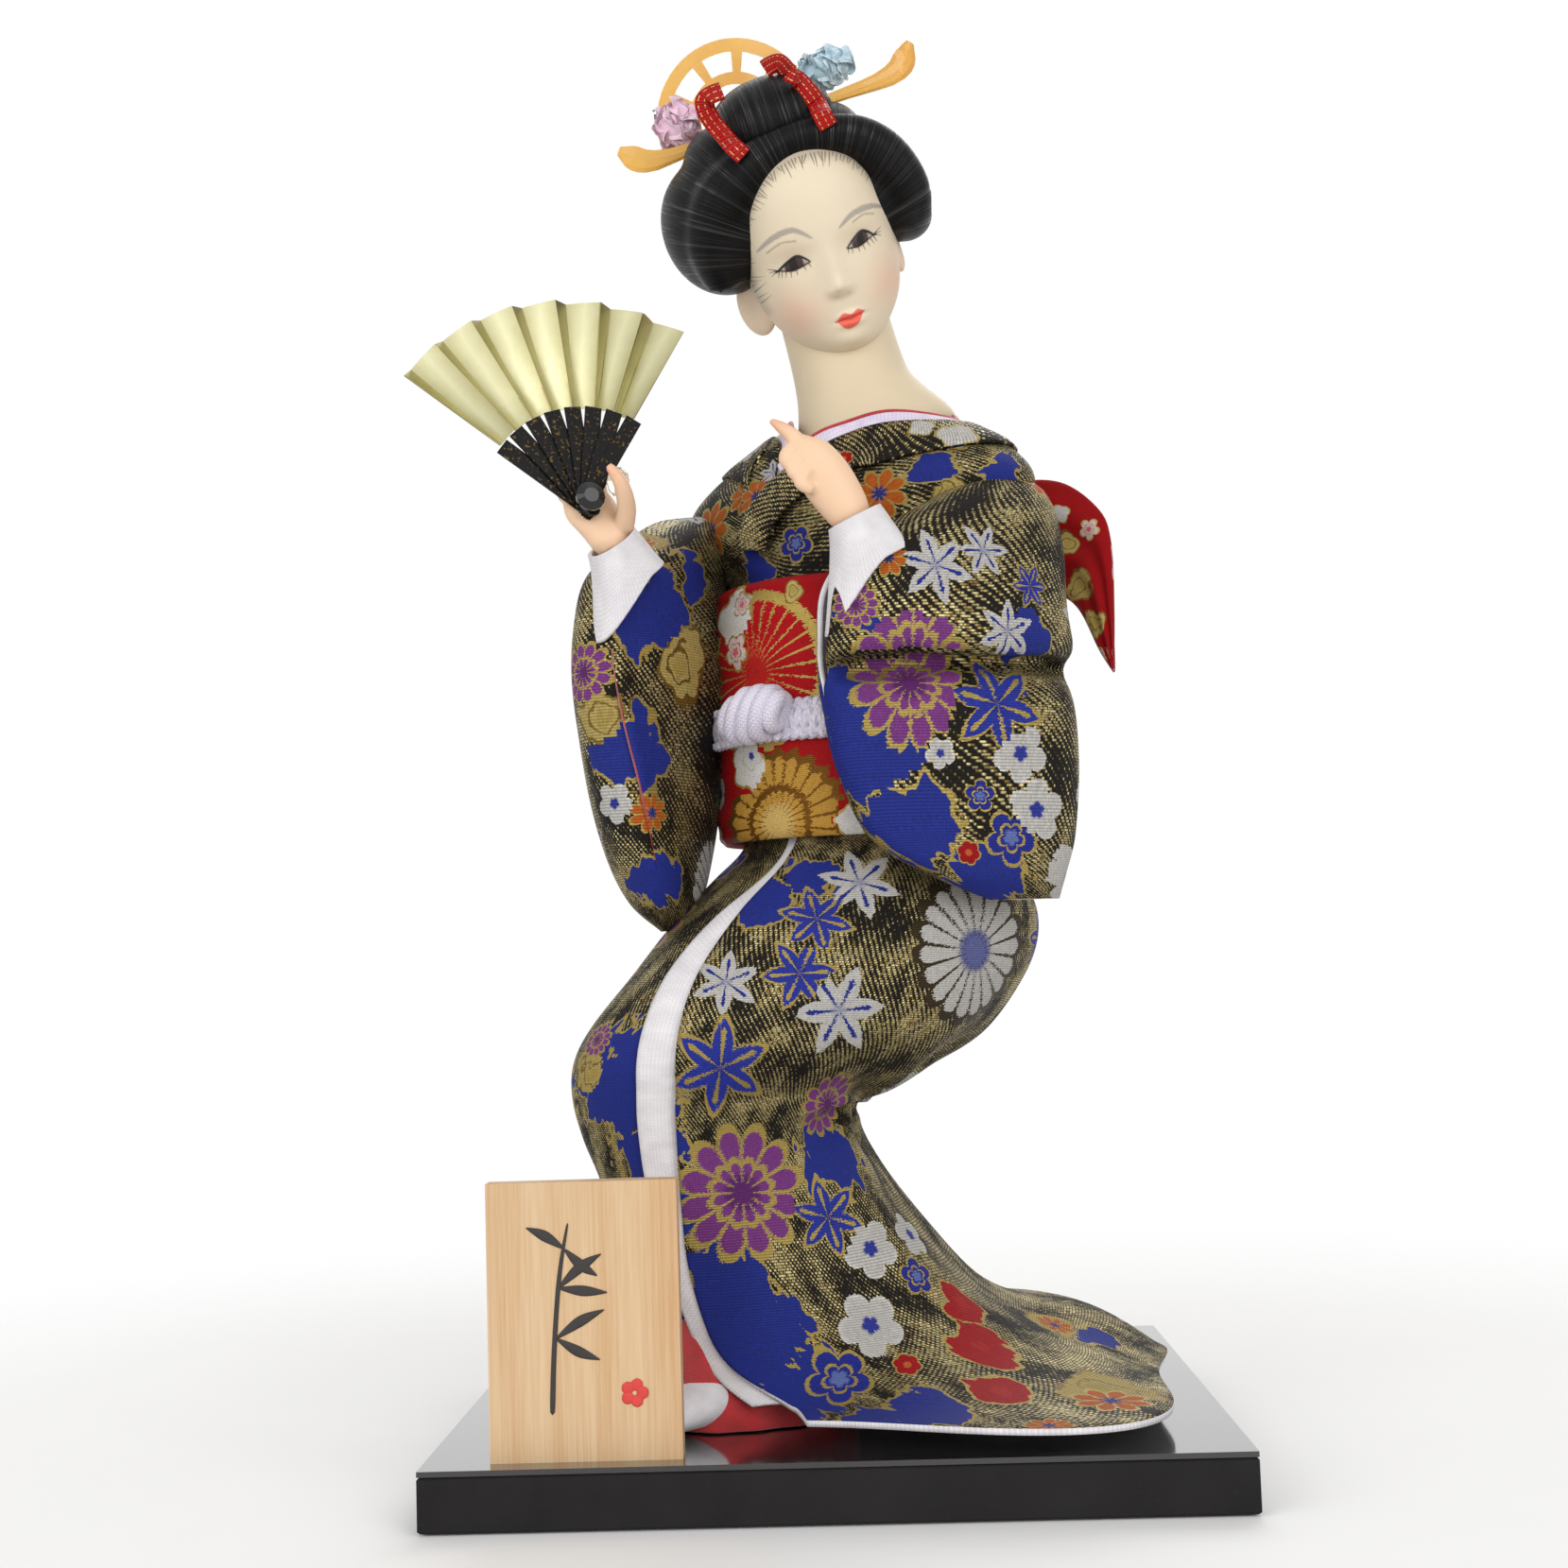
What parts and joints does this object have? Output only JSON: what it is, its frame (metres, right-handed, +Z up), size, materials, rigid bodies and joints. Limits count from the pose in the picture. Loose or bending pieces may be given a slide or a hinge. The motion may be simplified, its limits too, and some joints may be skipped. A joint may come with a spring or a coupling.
{
  "type": "kneeling kimono doll",
  "caption": "Kneeling doll in a long-sleeved brocade robe with sash and bow, holding a folding fan, with a wig and hair ornaments, on a black display board with a wooden name plate.",
  "frame": {"origin": "middle of the display board's underside", "axes": "+Z up, +X to the viewer's right, +Y away from the viewer, so the doll faces -Y and a little to -X"},
  "size_m": [0.1537, 0.135, 0.3071],
  "materials": {
    "board": "matt black paint on board",
    "gloss": "mirror gloss black",
    "pine": "planed pale pine",
    "steel": "zinc plated",
    "beech": "turned",
    "foam": "stuffing",
    "brocade": "woven brocade with gold thread",
    "red_brocade": "printed red cloth with gold",
    "red_satin": "satin",
    "white_cloth": "plain white cloth",
    "face": "painted, matt",
    "hand": "painted, satin",
    "eye": "gloss",
    "hair": "combed nylon strands",
    "comb": "golden yellow, satin",
    "pink": "tufted",
    "blue": "tufted",
    "lacquer": "black lacquer with gold flecks",
    "foil": "gold foil",
    "glue": "clear, set"
  },
  "bodies": {
    "doll": {"base_board": "board", "base_top_sheet": "gloss", "screw_left": "steel", "screw_right": "steel", "arm_wire_left": "steel", "arm_wire_right": "steel", "leg_dowel_left": "beech", "leg_dowel_right": "beech", "leg_padding": "foam", "torso_core": "foam", "robe_skirt": "brocade", "robe_bodice": "brocade", "sleeve_left": "brocade", "sleeve_right": "brocade", "collar_left": "brocade", "collar_right": "brocade", "obi_sash": "red_brocade", "bow_knot": "red_brocade", "bow_wing_left": "red_brocade", "bow_wing_right": "red_brocade", "under_skirt": "red_satin", "lining_band": "white_cloth", "foot_left": "white_cloth", "foot_right": "white_cloth", "obi_cord": "white_cloth", "obi_cord_knot": "white_cloth", "cuff_left": "white_cloth", "cuff_right": "white_cloth", "under_collar_left": "white_cloth", "under_collar_right": "white_cloth"},
    "head": {"head": "face", "eye_left": "eye", "eye_right": "eye", "neck_peg": "beech", "hair_wig": "hair", "hair_bun": "hair", "hair_comb": "comb", "hairpin": "comb", "ribbon_left": "red_brocade", "ribbon_right": "red_brocade", "flower_pink": "pink", "flower_blue": "blue"},
    "hand_left": {"hand_left": "hand"},
    "hand_right": {"hand_right": "hand", "fan_guard_front": "lacquer", "fan_rivet": "lacquer", "fan_leaf": "foil", "glue_bead": "glue"},
    "name_plate": {"name_plate": "pine"},
    "fan_guard_back": {"fan_guard_back": "lacquer"},
    "fan_rib_1": {"fan_rib_1": "lacquer"},
    "fan_rib_2": {"fan_rib_2": "lacquer"},
    "fan_rib_3": {"fan_rib_3": "lacquer"},
    "fan_rib_4": {"fan_rib_4": "lacquer"},
    "fan_rib_5": {"fan_rib_5": "lacquer"},
    "fan_rib_6": {"fan_rib_6": "lacquer"}
  },
  "joints": [
    {"name": "head_turn", "type": "hinge", "parent": "doll", "child": "head", "pos_m": [0.0134, 0.006, 0.213], "axis": [-0.23, 0.01, 0.9731], "range_deg": [-20, 20]},
    {"name": "left_wrist_turn", "type": "hinge", "parent": "doll", "child": "hand_left", "pos_m": [0.0094, -0.0368, 0.1875], "axis": [-0.4193, -0.1298, 0.8985], "range_deg": [-15, 15]},
    {"name": "right_wrist_turn", "type": "hinge", "parent": "doll", "child": "hand_right", "pos_m": [-0.04, -0.0283, 0.186], "axis": [-0.4608, -0.4208, 0.7814], "range_deg": [-15, 15]},
    {"name": "fan_fold", "type": "hinge", "parent": "hand_right", "child": "fan_guard_back", "pos_m": [-0.0443, -0.033, 0.1934], "axis": [0.3608, -0.922, 0.1403], "range_deg": [-77.7, 0], "deforming": ["fan_leaf"]},
    {"name": "fan_rib_6_fold", "type": "hinge", "parent": "hand_right", "child": "fan_rib_6", "pos_m": [-0.0443, -0.033, 0.1934], "axis": [0.3608, -0.922, 0.1403], "range_deg": [-67.1, 0.5]},
    {"name": "fan_rib_5_fold", "type": "hinge", "parent": "hand_right", "child": "fan_rib_5", "pos_m": [-0.0443, -0.033, 0.1934], "axis": [0.3608, -0.922, 0.1403], "range_deg": [-56, 0.5]},
    {"name": "fan_rib_4_fold", "type": "hinge", "parent": "hand_right", "child": "fan_rib_4", "pos_m": [-0.0443, -0.033, 0.1934], "axis": [0.3608, -0.922, 0.1403], "range_deg": [-44.9, 0.5]},
    {"name": "fan_rib_3_fold", "type": "hinge", "parent": "hand_right", "child": "fan_rib_3", "pos_m": [-0.0443, -0.033, 0.1934], "axis": [0.3608, -0.922, 0.1403], "range_deg": [-33.8, 0.5]},
    {"name": "fan_rib_2_fold", "type": "hinge", "parent": "hand_right", "child": "fan_rib_2", "pos_m": [-0.0443, -0.033, 0.1934], "axis": [0.3608, -0.922, 0.1403], "range_deg": [-22.7, 0.5]},
    {"name": "fan_rib_1_fold", "type": "hinge", "parent": "hand_right", "child": "fan_rib_1", "pos_m": [-0.0443, -0.033, 0.1934], "axis": [0.3608, -0.922, 0.1403], "range_deg": [-11.6, 0.5]},
    {"name": "name_plate_lift", "type": "slide", "parent": "doll", "child": "name_plate", "axis": [0, 0, 1], "range_m": [0, 0.06]}
  ],
  "couplings": [
    {"joint": "fan_rib_6_fold", "follows": "fan_fold", "ratio": 0.85714},
    {"joint": "fan_rib_5_fold", "follows": "fan_fold", "ratio": 0.71429},
    {"joint": "fan_rib_4_fold", "follows": "fan_fold", "ratio": 0.57143},
    {"joint": "fan_rib_3_fold", "follows": "fan_fold", "ratio": 0.42857},
    {"joint": "fan_rib_2_fold", "follows": "fan_fold", "ratio": 0.28571},
    {"joint": "fan_rib_1_fold", "follows": "fan_fold", "ratio": 0.14286}
  ]
}
